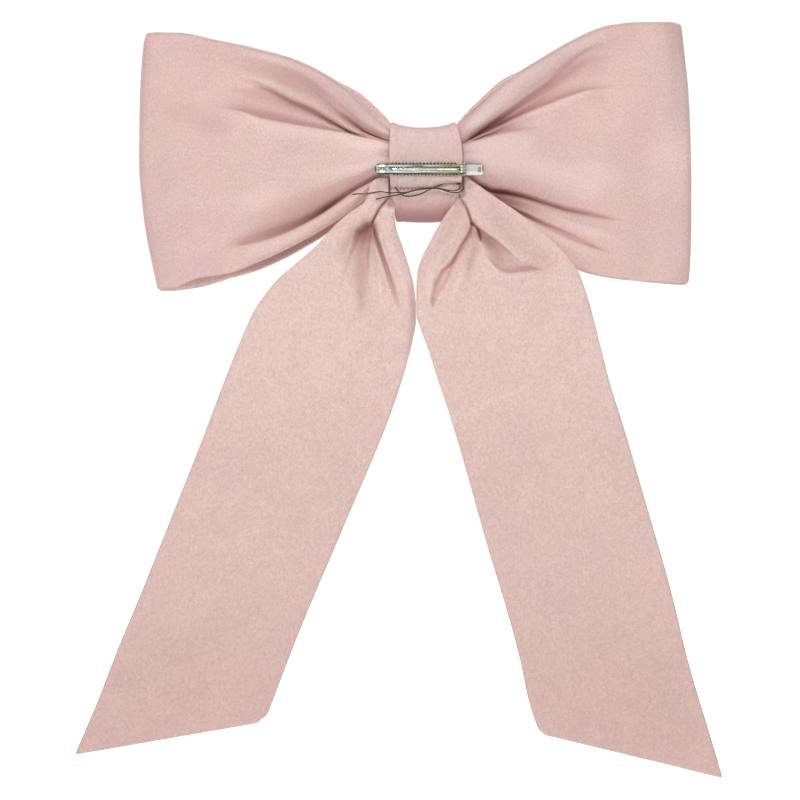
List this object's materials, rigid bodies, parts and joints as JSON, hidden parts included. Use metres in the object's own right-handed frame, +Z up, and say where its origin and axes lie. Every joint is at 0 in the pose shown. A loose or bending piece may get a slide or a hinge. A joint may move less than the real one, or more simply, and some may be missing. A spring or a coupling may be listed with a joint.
{
  "type": "hair bow barrette",
  "caption": "Velvet hair bow with two loops, a centre band and two long tails, sewn on to a French spring-clasp barrette whose hinged arm snaps into a pinch catch.",
  "frame": {"origin": "middle of the centre band's front (show) face, level with the middle of the clip's length and width", "axes": "+X along the clip from the catch to the hinge, +Z up towards the top of the bow, +Y away from the head, -Y to the hair"},
  "size_m": [0.2996, 0.0421, 0.3511],
  "materials": {
    "nickel_plate": "bright nickel plate on stamped steel, fine rolling marks",
    "nickel_arm": "bright nickel plate, rounded edges",
    "nickel_pin": "nickel plate, slightly duller",
    "spring_steel": "polished spring steel",
    "velvet_loops": "short-pile velvet, dusty blush pink, pale pile on the folds",
    "velvet_lining": "short-pile velvet, dusty blush pink",
    "velvet_tails": "short-pile velvet, dusty blush pink, doubled",
    "velvet_band": "short-pile velvet, dusty blush pink, brushed flat",
    "thread_pale": "twisted cotton thread",
    "thread_pink": "twisted thread, rose",
    "thread_dark": "twisted polyester thread, dark olive green"
  },
  "bodies": {
    "root": {"clip_base_plate": "nickel_plate", "clip_hinge_pin": "nickel_pin", "catch_bracket": "nickel_plate", "catch_rivet": "nickel_pin", "loops_outer_layer": "velvet_loops", "loops_inner_layer": "velvet_lining", "gathering_thread": "thread_pale", "tail_strip_back_layer": "velvet_tails", "tail_strip_front_layer": "velvet_tails", "centre_band": "velvet_band", "band_hem_stitches": "thread_pink", "sewing_thread_long_end": "thread_dark", "sewing_thread_short_end": "thread_dark", "sewing_thread_return_run": "thread_dark", "clip_binding_thread": "thread_dark"},
    "arm": {"clip_arm": "nickel_arm"},
    "spring": {"clip_tension_spring": "spring_steel"},
    "jaw_upper": {"catch_jaw_upper": "spring_steel"},
    "jaw_lower": {"catch_jaw_lower": "spring_steel"},
    "left_tail": {"left_tail_back_layer": "velvet_tails", "left_tail_front_layer": "velvet_tails"},
    "right_tail": {"right_tail_back_layer": "velvet_tails", "right_tail_front_layer": "velvet_tails"}
  },
  "joints": [
    {"name": "arm_hinge", "type": "hinge", "parent": "root", "child": "arm", "pos_m": [0.016, -0.0304, 0], "axis": [0, 0, 1], "range_deg": [0, 75]},
    {"name": "spring_flex", "type": "slide", "parent": "root", "child": "spring", "axis": [0, 1, 0], "range_m": [0, 0.0008], "stiffness_N_per_m": 400},
    {"name": "catch_pinch_upper", "type": "hinge", "parent": "root", "child": "jaw_upper", "pos_m": [-0.02175, -0.02845, 0.001], "axis": [1, 0, 0], "range_deg": [0, 8], "stiffness_Nm_per_rad": 0.002},
    {"name": "catch_pinch_lower", "type": "hinge", "parent": "root", "child": "jaw_lower", "pos_m": [-0.02175, -0.02845, -0.001], "axis": [1, 0, 0], "range_deg": [-8, 0], "stiffness_Nm_per_rad": 0.002},
    {"name": "left_tail_swing", "type": "hinge", "parent": "root", "child": "left_tail", "pos_m": [-0.038, -0.0257, -0.05], "axis": [1, 0, 0], "range_deg": [-30, 30]},
    {"name": "right_tail_swing", "type": "hinge", "parent": "root", "child": "right_tail", "pos_m": [0.032, -0.0257, -0.05], "axis": [1, 0, 0], "range_deg": [-30, 30]}
  ],
  "couplings": [
    {"joint": "catch_pinch_lower", "follows": "catch_pinch_upper", "ratio": -1}
  ]
}
